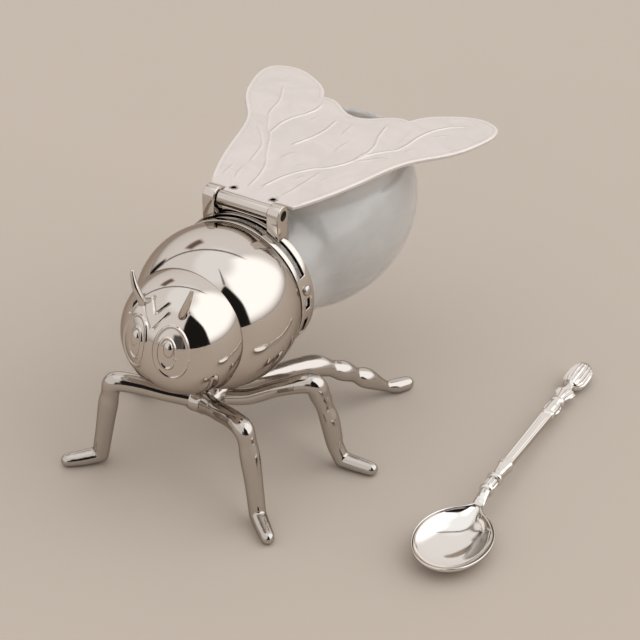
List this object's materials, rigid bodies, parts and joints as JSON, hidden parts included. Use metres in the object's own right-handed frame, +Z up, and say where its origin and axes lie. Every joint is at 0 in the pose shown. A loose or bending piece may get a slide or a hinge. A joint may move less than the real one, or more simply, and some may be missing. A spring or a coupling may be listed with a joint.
{
  "type": "honey pot with hinged lid",
  "caption": "Bee-shaped honey pot: metal bee on six legs, glass jar for its abdomen, wings as the hinged lid, with a matching spoon.",
  "frame": {"origin": "on the table straight below the middle of the bee's thorax", "axes": "+Z up; the bee faces -Y, so the jar, the lid and its wings lie towards +Y; +X is the bee's left, where the spoon lies"},
  "size_m": [0.1681, 0.1613, 0.0966],
  "materials": {
    "polished_plate": "mirror polish, silver-coloured plate",
    "satin_plate": "soft satin plate with embossed veins",
    "steel_fastener": "bright turned steel",
    "spoon_plate": "polished silver-coloured plate",
    "clear_glass": "clear glass, fire polished; blown or pressed is not known"
  },
  "bodies": {
    "bee": {"antenna_left": "polished_plate", "antenna_right": "polished_plate", "collar_ring": "polished_plate", "glass_jar": "clear_glass", "head_shell": "polished_plate", "hinge_bracket": "polished_plate", "hinge_pin": "steel_fastener", "hub_nuts": "steel_fastener", "hub_screws": "steel_fastener", "jar_screws": "steel_fastener", "leg_front_left": "polished_plate", "leg_front_right": "polished_plate", "leg_hub": "polished_plate", "leg_middle_left": "polished_plate", "leg_middle_right": "polished_plate", "leg_rear_left": "polished_plate", "leg_rear_right": "polished_plate", "thorax_shell": "polished_plate"},
    "lid": {"wing_lid": "satin_plate", "hinge_leaf": "polished_plate", "lid_rivets": "steel_fastener"},
    "spoon": {"spoon": "spoon_plate"}
  },
  "joints": [
    {"name": "lid_hinge", "type": "hinge", "parent": "bee", "child": "lid", "pos_m": [0, 0.0184, 0.093], "axis": [1, 0, 0], "range_deg": [0, 105]},
    {"name": "spoon_lift", "type": "slide", "parent": "bee", "child": "spoon", "axis": [0, 0, 1], "range_m": [0, 0.08]}
  ]
}
